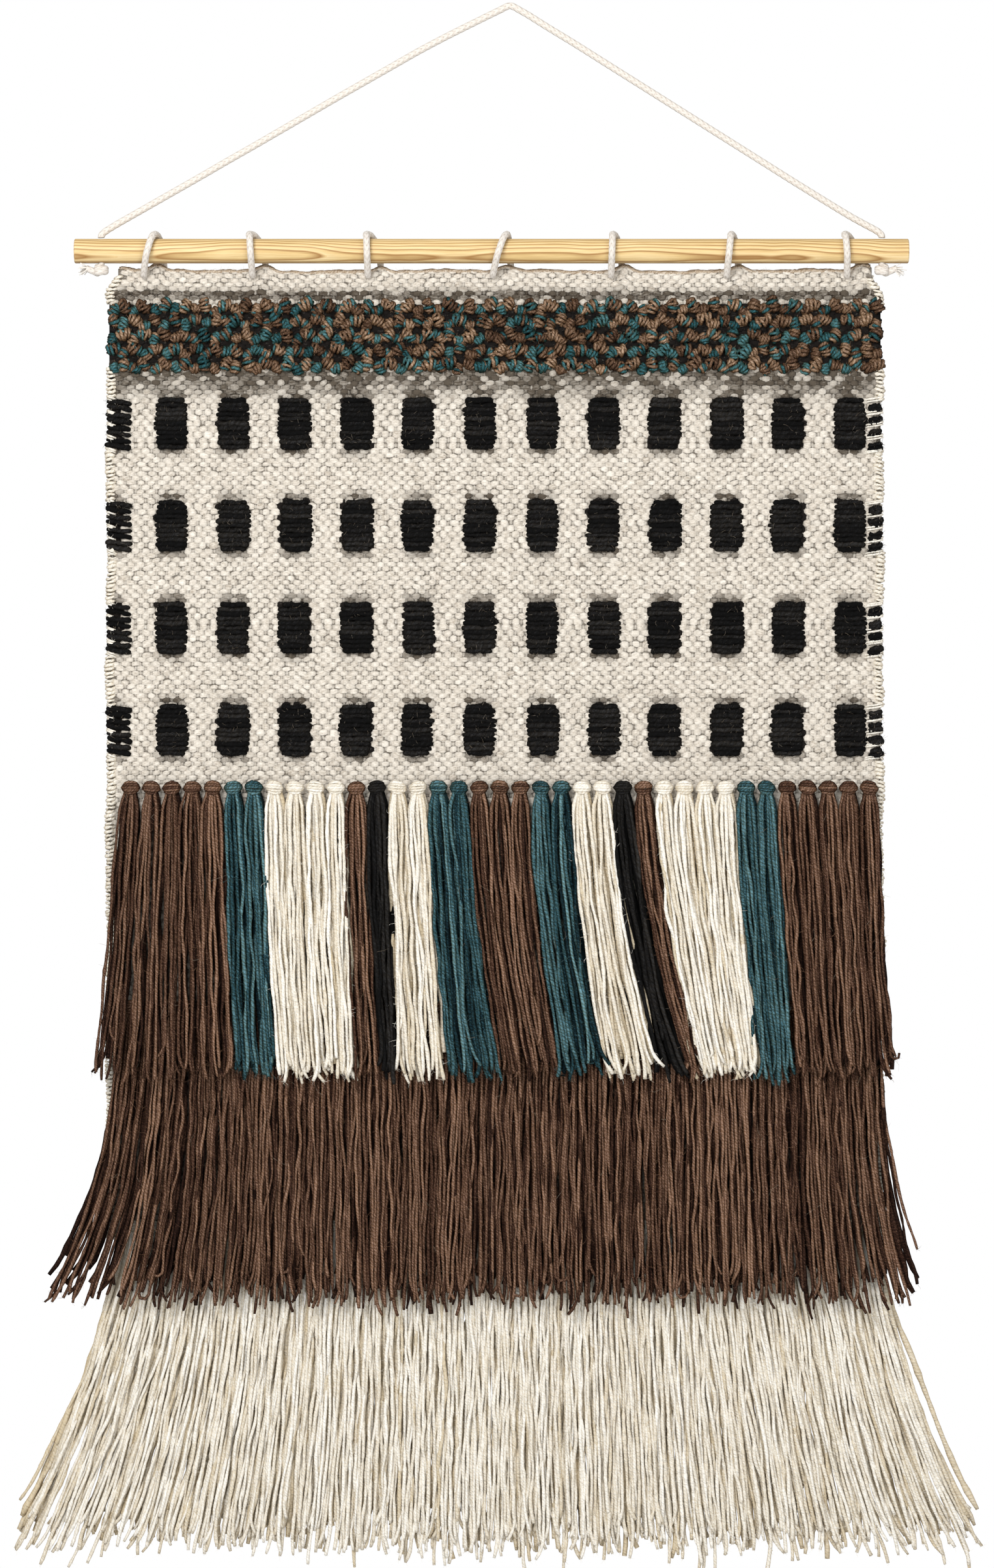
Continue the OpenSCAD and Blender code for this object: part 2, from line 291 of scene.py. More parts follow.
def add_braid(yarns, path, radius, tint=0.5, lay=4.6 * MM, columns=8):
    """A braided cord: slanting strands in columns whose slant changes from one column to the next."""
    corners = columns * 3
    corner = np.arange(corners) * 2 * np.pi / corners
    column, across = np.divmod(np.arange(corners) / 3, 1)
    slant = np.where(column % 2 == 0, 1, -1)
    lines = path[None]
    phase = travel(lines)[..., None] / lay + slant * (across - 0.33) * 0.8
    bulge = np.sqrt(np.abs(np.sin(np.pi * phase))) * (0.45 + 0.55 * np.sin(np.pi * (across + 0.17)))
    reach = radius * (0.87 + 0.16 * bulge)
    # crest, from the bulge: the cotton material paints shade between the strands with it
    yarns.tubes(lines, reach, np.broadcast_to(corner, reach.shape), bulge, tint)


# ---- Materials ----


class Value:
    """What a material works out at each point. Sums, products and powers of it add nodes."""

    def __init__(self, shader, socket):
        self.shader, self.socket = shader, socket

    def __add__(self, other):
        return self.shader.math("ADD", self, other)

    def __sub__(self, other):
        return self.shader.math("SUBTRACT", self, other)

    def __mul__(self, other):
        return self.shader.math("MULTIPLY", self, other)

    def __pow__(self, other):
        return self.shader.math("POWER", self, other)


class Shader:
    """Adds nodes to one material and links them as they are added."""

    def __init__(self, name):
        self.material = bpy.data.materials.new(name)
        self.material.use_nodes = True
        self.tree = self.material.node_tree

    def set(self, socket, value):
        if isinstance(value, Value):
            self.tree.links.new(value.socket, socket)
        else:
            socket.default_value = value

    def node(self, kind, inputs, **settings):
        made = self.tree.nodes.new("ShaderNode" + kind)
        for key, value in settings.items():
            setattr(made, key, value)
        for key, value in inputs.items():
            self.set(made.inputs[key], value)
        return made

    def add(self, kind, inputs=None, output=0, **settings):
        return Value(self, self.node(kind, inputs or {}, **settings).outputs[output])

    def attribute(self, name, output="Fac"):
        """A value that the mesh holds at its points."""
        return self.add("Attribute", attribute_name=name, output=output)

    def split(self, vector):
        """The X, Y and Z of a vector."""
        return [Value(self, part) for part in self.node("SeparateXYZ", {0: vector}).outputs]

    def noise(self, scale, detail=3.0, roughness=0.6, stretch=(1, 1, 1)):
        """Noise in the part's own space, scale to the metre, with each axis stretched."""
        where = self.add("TexCoord", output="Object")
        where = self.add("Mapping", {"Vector": where, "Scale": stretch})
        inputs = {"Vector": where, "Scale": scale, "Detail": detail, "Roughness": roughness}
        return self.add("TexNoise", inputs)

    def math(self, operation, a, b=0.0, clamp=False):
        return self.add("Math", {0: a, 1: b}, operation=operation, use_clamp=clamp)

    def ramp(self, fac, stops, colours):
        """The colours that a value runs through, each at its stop."""
        made = self.node("ValToRGB", {"Fac": fac})
        elements = made.color_ramp.elements
        for i, (stop, colour) in enumerate(zip(stops, colours)):
            element = elements[i] if i < 2 else elements.new(stop)
            element.position = stop
            element.color = (*colour, 1)
        return Value(self, made.outputs["Color"])

    def mix(self, fac, a, b, blend="MIX"):
        a, b = ((*v, 1) if isinstance(v, tuple) else v for v in (a, b))
        return self.add("Mix", {0: fac, 6: a, 7: b}, 2, data_type="RGBA", blend_type=blend)

    def darken(self, colour, by):
        return self.mix(1.0, colour, by, "MULTIPLY")

    def colour(self, red, green, blue):
        return self.add("CombineColor", {"Red": red, "Green": green, "Blue": blue})

    def bump(self, height, distance, strength):
        return self.add("Bump", {"Height": height, "Distance": distance, "Strength": strength})

    def finish(self, colour, roughness, bump=None, gloss=0.5, sheen=0.0):
        """Sets the surface and gives the finished material."""
        surface = self.tree.nodes["Principled BSDF"].inputs
        self.set(surface["Base Color"], colour)
        self.set(surface["Roughness"], roughness)
        self.set(surface["Specular IOR Level"], gloss)
        self.set(surface["Sheen Weight"], sheen)
        if bump:
            self.set(surface["Normal"], bump)
        return self.material


PLIES = 2


def plies(shader, pitch):
    """The humps of a yarn's twisted plies, from 0 in the groove to 1, and the fibres that run along them."""
    across, up, along = shader.split(shader.attribute("round", "Vector"))
    uneven = shader.add("TexNoise", {"W": along * 210, "Scale": 1.0}, noise_dimensions="1D")
    turn = along * (2 * math.pi / pitch) + uneven * 4.5
    phase = shader.math("ARCTAN2", up, across) + turn
    hump = shader.math("COSINE", phase * PLIES) * 0.5 + 0.5
    circle = {"X": shader.math("COSINE", phase), "Y": shader.math("SINE", phase), "Z": along * 120}
    where = shader.add("CombineXYZ", circle)
    fibre = shader.add("TexNoise", {"Vector": where, "Scale": 3.0, "Detail": 4.0, "Roughness": 0.7})
    return hump * 0.8 + shader.noise(900) * 0.36, fibre


def side_shade(shader, darkest):
    """Painted shade on a yarn's sides: 1 where it faces the front or the back, falling to darkest where it
    faces its neighbours.
    """
    facing = shader.split(shader.add("TexCoord", output="Normal"))[1]
    return shader.math("ABSOLUTE", facing) ** 1.6 * (1 - darkest) + darkest


def yarn_material(name, shades, pitch, groove=0.5, side=0.08, warmth=1.0, second=None):
    """Twisted wool with painted shade. groove and side: how light its grooves and sides stay; warmth: how
    warm the shade is. pitch is in millimetres.
    """
    shader = Shader(name)
    hump, fibre = plies(shader, pitch * MM)
    slow = shader.noise(45, detail=2)
    fuzz = shader.noise(1500, detail=4)
    shade = shader.attribute("tint") * 0.5 + (fibre - 0.22 + (slow - 0.5) * 0.15) + (fuzz - 0.5) * 0.7
    colour = shader.ramp(shade, (0.30, 0.52, 0.78), shades)
    if second:
        colour = shader.mix(shader.attribute("dye"), colour, shader.ramp(shade, (0.28, 0.52, 0.82), second))
    # Painted shade: darker in the grooves between the plies and on the sides, warmer where it is deepest
    depth = (hump * shader.attribute("crest") * (1 - groove) + groove) * side_shade(shader, side)
    shadow = shader.colour(depth ** (1 - 0.18 * warmth), depth, depth ** (1 + 0.3 * warmth))
    bump = shader.bump(hump + fibre * 1.2, 0.5 * MM, 0.9)
    return shader.finish(shader.darken(colour, shadow), 0.92, bump, gloss=0.12)


def cotton_material():
    """Braided cotton with painted shade: palest on the crests of its strands, darker between them."""
    shader = Shader("braided_cotton")
    speck = shader.noise(1500)
    colour = shader.ramp(shader.attribute("crest") * 0.6 + speck * 0.45, (0.25, 0.55, 0.85), COTTON)
    return shader.finish(colour, 0.88, shader.bump(speck, 0.25 * MM, 0.7), gloss=0.2, sheen=0.05)


def pine_material():
    """Grain that wanders along the rod: wide pale early wood between thin darker lines."""
    shader = Shader("pine")
    x, y, z = shader.split(shader.add("TexCoord", output="Object"))
    shift = (shader.noise(7, roughness=0.45, stretch=(0.9, 1.2, 1.2)) - 0.5) * (24 * MM)
    from_pith_y = y + 22 * MM
    from_pith_z = z - (ROD_Z - 16 * MM) + shift + x * 0.018
    from_pith = shader.math("SQRT", from_pith_y * from_pith_y + from_pith_z * from_pith_z)
    ring = shader.math("FRACT", from_pith * RINGS_A_METRE)
    pores = shader.noise(1300, stretch=(0.03, 1, 1))
    streak = shader.ramp(pores, (0.35, 0.6), (PINE_PORES, WHITE))
    tone = shader.ramp(shader.noise(55, detail=2, stretch=(0.25, 1, 1)), (0.3, 0.7), (PINE_BLOTS, WHITE))
    colour = shader.darken(shader.darken(shader.ramp(ring, (0.0, 0.5, 0.82, 0.97), PINE), streak), tone)
    # Darker in noisy patches along the rod's underside
    under = shader.math("SUBTRACT", ROD_Z - 7.4 * MM, z)
    underside_dark = shader.math("MULTIPLY", under, 900, clamp=True) * shader.noise(70, stretch=(0.6, 1, 1))
    colour = shader.mix(underside_dark, colour, PINE_UNDERSIDE)
    return shader.finish(colour, 0.5, shader.bump(pores, 0.12 * MM, 0.5))


def weave_material():
    """Natural wool, with painted shade in the hollows between floats. The value dye darkens it where the dark
    yarns show through, and with painted shadow round the bobbles and blocks.
    """
    shader = Shader("natural_weave")
    fleck = shader.noise(1100, detail=5, stretch=(0.4, 1, 1))
    colour = shader.ramp(shader.attribute("tint") * 0.45 + (fleck * 0.9 - 0.18), (0.25, 0.5, 0.78), NATURAL)
    # dye: dark wool showing through, and painted shadow round the bobbles and blocks
    dye = shader.attribute("dye")
    under = shader.ramp(dye, (0.0, 0.95, 1.0), (VEILED_DARK_AND_SHADOW, VEILED_DARK_AND_SHADOW, DARK_GROUND_AND_SHADE))
    uneven = shader.noise(900, stretch=(0.3, 1, 1)) * 1.3 + 0.5
    dyed = shader.mix(shader.math("MULTIPLY", dye, uneven, clamp=True), colour, under)
    # Painted shade: lowest crest, and darkest, in the hollows between floats and on the sheet beneath them
    depth = shader.attribute("crest") * 0.55 + 0.43
    fibres = shader.noise(2400, detail=2, stretch=(0.35, 1, 1))
    colour = shader.darken(dyed, shader.colour(depth, depth, depth))
    return shader.finish(colour, 0.93, shader.bump(fibres, 0.3 * MM, 0.8), gloss=0.12, sheen=0.05)


# Three shades of each yarn, from dark to light
BROWN = ((0.014, 0.005, 0.003), (0.084, 0.0415, 0.0275), (0.340, 0.213, 0.155))
BOBBLE_BROWN = ((0.032, 0.016, 0.010), (0.175, 0.105, 0.070), (0.460, 0.330, 0.240))
TEAL = ((0.002, 0.011, 0.017), (0.024, 0.078, 0.105), (0.150, 0.300, 0.360))
BRIGHT_TEAL = ((0.006, 0.035, 0.046), (0.030, 0.120, 0.150), (0.115, 0.270, 0.310))
CREAM = ((0.61, 0.52, 0.37), (0.77, 0.725, 0.635), (0.91, 0.90, 0.865))
BLACK = ((0.001, 0.001, 0.001), (0.004, 0.004, 0.0045), (0.030, 0.029, 0.029))
NATURAL = ((0.27, 0.22, 0.165), (0.56, 0.505, 0.43), (0.76, 0.71, 0.63))
# Tan of the hem's yarns; their low tints also paint shade under the rod
HEM_TAN_AND_SHADE = ((0.30, 0.22, 0.15), (0.58, 0.49, 0.39), (0.82, 0.77, 0.69))
# The dark end of COTTON is painted shade between the braid's strands
COTTON = ((0.41, 0.36, 0.30), (0.59, 0.54, 0.485), (0.72, 0.68, 0.625))
PALE_HAIR = ((0.45, 0.42, 0.39),) * 3
# The dark yarn behind the natural weave, thinly veiled and bare; it is also painted shadow round the bobbles
# and blocks, and painted shade between the bobbles
VEILED_DARK_AND_SHADOW = (0.082, 0.066, 0.049)
DARK_GROUND_AND_SHADE = (0.008, 0.006, 0.005)
# Pine from one growth line to the next, then what darkens it: pores, blots and a patch along the underside
PINE = ((0.76, 0.60, 0.34), (0.69, 0.51, 0.24), (0.33, 0.17, 0.045), (0.71, 0.53, 0.27))
PINE_PORES = (0.84, 0.79, 0.70)
PINE_BLOTS = (0.90, 0.86, 0.78)
PINE_UNDERSIDE = (0.16, 0.08, 0.035)
WHITE = (1.0, 1.0, 1.0)
RINGS_A_METRE = 400

yarn_materials = {
    "brown": yarn_material("brown_wool", BROWN, 4.8, groove=0.42, second=PALE_HAIR),
    "teal": yarn_material("teal_wool", TEAL, 5.6, groove=0.42, second=PALE_HAIR),
    "cream": yarn_material("cream_wool", CREAM, 5.2, groove=0.88, side=0.74, warmth=1.5),
    "black": yarn_material("black_wool", BLACK, 9, second=PALE_HAIR),
}
cotton = cotton_material()
bobble_yarn = yarn_material("bobble_yarn", BOBBLE_BROWN, 4.6, second=BRIGHT_TEAL)
weave = weave_material()
hem_yarn = yarn_material("hem_yarn", HEM_TAN_AND_SHADE, 8, groove=0.7, side=0.7)

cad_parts["rod"].data.materials.clear()
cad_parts["rod"].data.materials.append(pine_material())


def settle(piece, body, slot, *nodes):
    """Puts a piece on its body, in place of CAD nodes. The argument slot is not used."""
    if body:
        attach(piece, body)
    if nodes:
        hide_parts(*nodes)
    return piece


# ---- The hanging cord and its ends ----

CORD_RISE = ROD_Z + ROD_R
# Millimetres across from the nail and up from the top of the rod
CORD_ROUTE = [
    (-299, 0.7), (-299, 1.8), (-298.4, 3.2), (-296.6, 5), (-293, 7.4), (-286, 11.6), (-267, 22.4),
    (-247, 33.8), (-227, 45.2), (-207, 56.8), (-187, 68.2), (-167, 79.8), (-147, 91.4), (-127, 103),
    (-107, 114.4), (-87, 125.8), (-67, 137.2), (-47, 147.8), (-27, 157.8), (-14, 164.2), (-7, 167.6),
    (-3, 169.7), (0, 170.5), (3, 169.7), (7, 167.4), (14, 163.4), (27, 155.2), (47, 143), (67, 130.4),
    (87, 117.8), (107, 105.2), (127, 92.6), (147, 80), (167, 67.4), (187, 54.8), (207, 42.2),
    (227, 29.8), (247, 17.6), (259, 10.9), (265.6, 7.4), (269.6, 5), (271.4, 3.2), (272, 1.8), (272, 0.7),
]
cord_path = through([(x * MM, 0, CORD_RISE + z * MM) for x, z in CORD_ROUTE], 0.8 * MM)
cord_yarns = Yarns()
add_braid(cord_yarns, cord_path, CORD_D / 2)
add_fibres(cord_yarns, cord_path[None, 20:-20], 260, 2.5, 2.9, tint=0.6)
hanging_cord = cord_yarns.object("hanging_cord_braid", cotton)
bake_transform(hanging_cord)
settle(hanging_cord, None, "cotton_cord", "hanging_cord")

HOLE_INSET = 19.5 * MM
STOPPER_POINTS = 15
STOPPER_HALF_TURNS = 4.1
STOPPER_R = 3.1
FRAYS = 26
FRAY_WAY = (6.5, 0, -2.4)


def cord_end(node, side):
    """The cord's stretch in a rod hole, a stopper knot of two turns under the rod, and its frayed tail."""
    high = box(node)[1]
    x = (rod_high if side > 0 else rod_low)[0] - side * HOLE_INSET
    under = ROD_Z - ROD_R
    path = [(x, 0, high[2]), (x, 0, ROD_Z), (x, 0, under - MM)]
    for share in np.linspace(0, 1, STOPPER_POINTS):
        a = share * STOPPER_HALF_TURNS * math.pi
        across, deep, drop = STOPPER_R * math.cos(a), STOPPER_R * math.sin(a), 2.9 + 4.2 * share
        path.append((x + side * across * MM, deep * MM, under - drop * MM))
    path += [(x + side * 7 * MM, 0.5 * MM, under - 5.2 * MM), (x + side * 11 * MM, 0, under - 3.6 * MM)]
    line = through(path, 0.8 * MM)
    yarns = Yarns()
    add_braid(yarns, line, CORD_D / 2 * 0.98)
    spread = rng.normal(size=(FRAYS, 1, 3)) * (0.5, 1.1, 1.1) * MM
    share = np.linspace(0, 1, 6)[None, :, None]
    way = np.array(FRAY_WAY) * (side, 1, 1) * MM * rng.uniform(0.5, 1.1, (FRAYS, 1, 1))
    frays = line[-1] + spread * (0.5 + 1.6 * share) + way * share - np.array([side * 1.5 * MM, 0, 0])
    add_yarn(yarns, frays, 0.38, tint=0.7)
    return settle(yarns.object(node + "_braid", cotton), "rod", "cotton_cord", node)


cord_end("left_cord_end", -1)
cord_end("right_cord_end", 1)

# ---- The lacing cord ----

# Millimetres: where each loop starts, how far it leans over its top, and where it comes down behind
LOOP_PLACES = [-268, -188.5, -104, -12.5, 74, 158.6, 246.6]
LOOP_TOPS = [8, -2, -1, 10, 1, 3, -2]
LOOP_BACKS = [14, 9, 9, 13, 8, 9, 9]
LACING_DROP = 17.5
LACING_BACK = 12
LOOP_R = 12.35
LOOP_SWEEP = 204
LOOP_STEPS = 8


def loop_route(x, top, back):
    """One loop: out through the hem, over the rod and down behind it. Millimetres from the rod's axis."""
    route = [(x - 5, LACING_BACK, -LACING_DROP), (x - 1.6, LACING_BACK - 1.4, -LACING_DROP),
             (x, LACING_BACK - 5, -LACING_DROP), (x, 2.5, -LACING_DROP),
             (x + 0.04 * top, -1.6, 1.8 - LACING_DROP)]
    for share in np.linspace(0, 1, LOOP_STEPS + 1):
        a = math.radians(LOOP_SWEEP * (1 - share))
        side = top * (0.3 + 1.4 * share) if share < 0.5 else top + (back - top) * (2 * share - 1)
        route.append((x + side, LOOP_R * math.cos(a), LOOP_R * math.sin(a)))
    return route + [(x + back, LACING_BACK, -9), (x + back + 1.2, LACING_BACK, 3 - LACING_DROP),
                    (x + back + 4.4, LACING_BACK, -LACING_DROP)]


lacing_route = []
for x, top, back in zip(LOOP_PLACES, LOOP_TOPS, LOOP_BACKS):
    lacing_route += loop_route(x, top, back)
lacing_path = through([(x * MM, y * MM, ROD_Z + z * MM) for x, y, z in lacing_route], 0.8 * MM)
lacing_yarns = Yarns()
add_braid(lacing_yarns, lacing_path, CORD_D / 2, tint=0.75)
add_fibres(lacing_yarns, lacing_path[None], 260, 2.5, 3, tint=0.8)
settle(lacing_yarns.object("lacing_cord_braid", cotton), "cloth", "cotton_cord", "lacing_cord")

# ---- The cloth ----

PEAK_OFFSET = 9.5
CORNER_PEAKS = [-283.5, 262]
HEM_PEAKS = [x + PEAK_OFFSET for x in LOOP_PLACES] + CORNER_PEAKS
peak_height = np.append(rng.uniform(3.2, 4.1, len(LOOP_PLACES)), (3.0, 3.4))
QUARTER_FOLD = CLOTH_T * np.pi / 2
CLOTH_LONG = HEM_TOP - cloth_low[2]


def hem_lift(x):
    """How far the top edge stands above its lowest line: it is drawn up beside each loop."""
    lift = sum(h * bell(x - p * MM, 6.5) for p, h in zip(HEM_PEAKS, peak_height))
    waves = 0.35 * wave(x, 11) + 0.2 * wave(x, 4.3, 1) + 0.45 * wave(x, 37, 2)
    return (lift + waves - 1.0) * MM


def on_cloth(x, down, back=False):
    """Points of the cloth's surface, down metres from the top of the hem's fold, and which way is out."""
    angle = np.clip(down / CLOTH_T, 0, np.pi / 2)
    sign = 1.0 if back else -1.0
    fold_y = CLOTH_FRONT + CLOTH_T
    y = fold_y + sign * CLOTH_T * np.sin(angle)
    z = HEM_TOP - CLOTH_T + CLOTH_T * np.cos(angle) - np.maximum(down - QUARTER_FOLD, 0)
    z = z + hem_lift(x) * bell(down, 16)
    if back:
        y = np.where(down > HEM_DEPTH + QUARTER_FOLD, fold_y, y)
    out = np.stack([0 * y, sign * np.sin(angle), np.cos(angle)], axis=-1)
    return np.stack([x + 0 * y, y, z], axis=-1), out


def cloth_edge(down):
    """The cloth's half width: the corners are cut back beside the cord's knots."""
    return CLOTH_HALF - np.interp(down, [8 * MM, 17 * MM], [6.5 * MM, 0])


def cloth_core():
    """The closed sheet that the floats lie on: front, over the fold, and down the back, painted dark as shade
    between the floats.
    """
    downs = np.concatenate([np.linspace(0, QUARTER_FOLD, 5), np.linspace(QUARTER_FOLD, 34 * MM, 12)[1:],
                            np.linspace(34 * MM, CLOTH_LONG, 84)[1:]])
    share = np.linspace(-1, 1, 190)
    x = CLOTH_X + share[:, None] * cloth_edge(downs)[None]
    down = downs[None] + 0 * x
    front, front_out = on_cloth(x, down)
    behind, behind_out = on_cloth(x, down, back=True)
    sunk = 0.35 * MM
    loop = np.concatenate([(front - front_out * sunk)[:, ::-1], (behind - behind_out * sunk)[:, 1:]], axis=1)
    n, m = loop.shape[:2]
    wall = tube_quads(1, n, m, capped=False)[:, [0, 3, 2, 1]]
    half = (m - 1) // 2
    pairs = np.array([[k, k + 1, m - 2 - k, m - 1 - k] for k in range(half - 1)])
    quads = np.vstack([wall, pairs[:, ::-1], (n - 1) * m + pairs])
    # Dark wool showing through, and painted shadow
    dye = dark_yarn_and_shadow_near(x, down)
    shade = np.concatenate([dye[:, ::-1], dye[:, 1:]], axis=1).ravel()
    # crest 0 and a low tint: painted shade where the sheet shows between the floats
    values = {"crest": np.zeros(n * m), "tint": np.full(n * m, 0.25), "dye": shade}
    return mesh_object("ground_weave_sheet", loop.reshape(-1, 3), quads, weave, values)


# Rows of weft: closer where the cloth is plain, wider beside the black blocks
FLOAT_PITCH = 7.63 * MM
PLAIN_ROW = 3.29 * MM
BLOCK_ROW = 4.1 * MM
BLOCK_PITCH = 45.2 * MM
BLOCK_HALF = 11.8 * MM
BLOCK_RIM = 1.5 * MM
FIRST_BLOCK = CLOTH_X - 237 * MM
BLOCKS_ACROSS = 12
blocks = [box(f"block_row_{r}") for r in (1, 2, 3, 4)]
bobbles = [box(f"bobble_row_{r}") for r in (1, 2, 3, 4, 5)]


def down_of(z):
    """How far down the cloth a height is."""
    return HEM_TOP - z + 0.6 * MM


BOBBLES_START = down_of(bobbles[0][1][2])
BOBBLES_END = down_of(bobbles[-1][0][2])


def weft_rows(last):
    """How far down from the fold each row of weft lies."""
    rows, down = [], 2.4 * MM
    while down < last:
        rows.append(down)
        beside = any(down_of(high[2]) < down < down_of(low[2]) for low, high in blocks)
        down += BLOCK_ROW if beside else PLAIN_ROW
    return np.array(rows)


def dark_yarn_and_shadow_near(x, down):
    """How much dark wool shows and painted shadow falls, up to 1 under the bobbles and blocks, fading out
    round them.
    """
    ragged = 1.3 * MM * wave(x, 2.7) * wave(x, 11, 2)
    band = (down > BOBBLES_START + 5.5 * MM + ragged) & (down < BOBBLES_END - 4 * MM + ragged)
    # Above, below and round the blocks: dark wool seen through the weave, and painted shadow
    above = 1.25 * bell(down - (BOBBLES_START - 2.6 * MM), 3.8)
    below = 1.3 * bell(np.maximum(down - BOBBLES_END, 0), 14) * (down > BOBBLES_END - 5 * MM)
    dark = (above + below) * (0.82 + 0.18 * wave(x, 17) * wave(x, 41, 1))
    nearest = np.abs((x - FIRST_BLOCK + BLOCK_PITCH / 2) % BLOCK_PITCH - BLOCK_PITCH / 2)
    across = bell(np.maximum(nearest - BLOCK_HALF + 4 * MM, 0), 3)
    for low, high in blocks:
        start = down_of(high[2]) + BLOCK_RIM
        end = down_of(low[2]) - BLOCK_RIM
        over = bell(down - start + 2 * BLOCK_RIM, 3.4)
        under = bell(down - end - 2 * BLOCK_RIM, 3.8)
        dark = dark + 0.78 * across * (over + under)
        band = band | ((down > start) & (down < end) & (nearest < BLOCK_HALF - BLOCK_RIM))
    return np.where(band, 1.0, np.clip(dark, 0, 0.9))


# Along a float: where its rings are, how high and how broad each is. Across it: its points, how high each is.
FINE_HUMP = [np.array(v) for v in ([-1, -0.62, 0, 0.62, 1], [-0.5, 0.7, 1, 0.7, -0.5],
                                   [0.28, 0.84, 1, 0.84, 0.28], [-1, -0.6, 0.6, 1], [-0.5, 0.8, 0.8, -0.5])]
PLAIN_HUMP = [np.array(v) for v in ([-1, 0, 1], [-0.5, 1, -0.5], [0.5, 1, 0.5], [-1, 0, 1], [-0.5, 1, -0.5])]


def add_floats(yarns, x, down, width, height, rise, hump, back=False, painted_shade=0.0):
    """Weft floats: rounded humps of yarn that dive into the cloth at both ends."""
    reach, arch, broad, side, crown = hump
    n, a, c = len(x), len(reach), len(side)
    px = x[:, None, None] + (reach * width[:, None] / 2)[..., None] + 0 * side
    tilt = rng.normal(0, 0.34, (n, 1, 1)) * MM * reach[:, None]
    pd = down[:, None, None] + side * (broad[:, None] * height[:, None, None] / 2) + tilt
    pd = pd + rng.normal(0, 0.16, (n, a, c)) * MM
    point, out = on_cloth(px, np.maximum(pd, 0), back)
    high = np.where(arch[:, None] < 0, arch[:, None], arch[:, None] * 0.6 + crown * 0.4)
    high = high + rng.normal(0, 0.1, (n, a, c))
    point = point + out * (high * rise[:, None, None])[..., None]
    index = np.arange(n * a * c).reshape(n, a, c)
    quads = np.stack([index[:, :-1, :-1], index[:, 1:, :-1], index[:, 1:, 1:], index[:, :-1, 1:]], axis=-1)
    quads = quads.reshape(-1, 4) if back else quads.reshape(-1, 4)[:, ::-1]
    # Painted shade: the low parts of each float, and the warp's bumps between the floats, are darkened
    crest = np.clip(0.2 + 0.9 * high, 0, 1) * (1 - painted_shade)
    tint = 0.62 + rng.normal(0, 0.08, n) - painted_shade * 0.2
    # near and dye: dark wool showing through, and painted shadow round the bobbles and blocks
    near = dark_yarn_and_shadow_near(x, down)
    dye = np.clip(near * np.where(rng.random(n) < 0.82, rng.uniform(0.7, 1.25, n), 0.4), 0, 0.95)
    dye = np.where(near > 0.99, 1.0, dye) * (0 if back else 1)
    yarns.add(point.reshape(-1, 3), quads, crest.ravel(), np.repeat(tint, a * c), np.repeat(dye, a * c))


def weft_layer(name, rows, hump, back=False):
    """One band of the weave: floats staggered like bricks, with the warp's bumps between them."""
    xs, downs = [], []
    for k, down in enumerate(rows):
        x = (np.arange(-40, 41) + 0.5 * (k % 2)) * FLOAT_PITCH
        xs.append(x[np.abs(x) < cloth_edge(down) - 2.2 * MM])
        downs.append(np.full(len(xs[-1]), down))
    x = CLOTH_X + np.concatenate(xs)
    down = np.concatenate(downs)
    n = len(x)
    yarns = Yarns()
    width = FLOAT_PITCH * rng.uniform(0.78, 1.06, n)
    height = np.interp(down, rows, np.gradient(rows)) * rng.uniform(1.15, 1.5, n)
    rise = rng.uniform(0.55, 1.05, n) * MM
    jitter = rng.normal(0, 1, (2, n)) * MM
    add_floats(yarns, x + 0.35 * jitter[0], down + 0.22 * jitter[1], width, height, rise, hump, back)
    if hump is FINE_HUMP:
        ones = np.ones(n)
        # The warp's bumps, darkened with painted shade between the floats
        add_floats(yarns, x + FLOAT_PITCH / 2 + 0.25 * jitter[1], down + 0.3 * jitter[0], 2.6 * MM * ones,
                   3.3 * MM * ones, 0.6 * MM * ones, PLAIN_HUMP, painted_shade=0.22)
    return settle(yarns.object(name, weave), "cloth", "natural_weave")


core = settle(cloth_core(), "cloth", "natural_weave", "ground_weave")
front_rows = weft_rows(CLOTH_LONG - 2 * MM)
hidden_from = down_of(TIER_Z["upper"]) + 14 * MM
for i, rows in enumerate(np.array_split(front_rows[front_rows < hidden_from], 3)):
    weft_layer(f"weft_front_{i + 1}", rows, FINE_HUMP)
weft_layer("weft_front_4", front_rows[front_rows >= hidden_from], PLAIN_HUMP)
weft_layer("weft_back", front_rows, PLAIN_HUMP, back=True)


def hem_twining():
    """Three yarns that run along the hem's fold and close it: tan of their own, and darker in part as painted
    shade under the rod.
    """
    share = np.linspace(-1, 1, 320)
    x = CLOTH_X + share * (cloth_edge(0) - MM)
    lines = []
    for side, lower in ((-1, 0.9), (1, 0.9), (0, 0.1)):
        phase = x / (2.6 * MM) + side * 1.6
        z = HEM_TOP + hem_lift(x) - lower * MM + 0.25 * MM * np.sin(phase)
        y = CLOTH_FRONT + CLOTH_T + side * 1.7 * MM + 0.2 * MM * np.cos(phase)
        lines.append(np.stack([x, y, z], axis=1))
    yarns = Yarns()
    # Low tints, lowest on the top yarn: partly painted shade under the rod
    add_yarn(yarns, np.array(lines), 1.25, tint=np.array([0.35, 0.35, 0.1]), wander=0.15)
    add_fibres(yarns, np.array(lines), 500, 3.5, 1.8)
    return settle(yarns.object("hem_twining", hem_yarn), "cloth", "natural_weave")


hem_twining()

# ---- Selvedges ----

WRAP_PITCH = 2.9 * MM
POINTS_A_WRAP = 9
EDGE_WRAPS = 5
FINGER_PITCH = 9.3 * MM


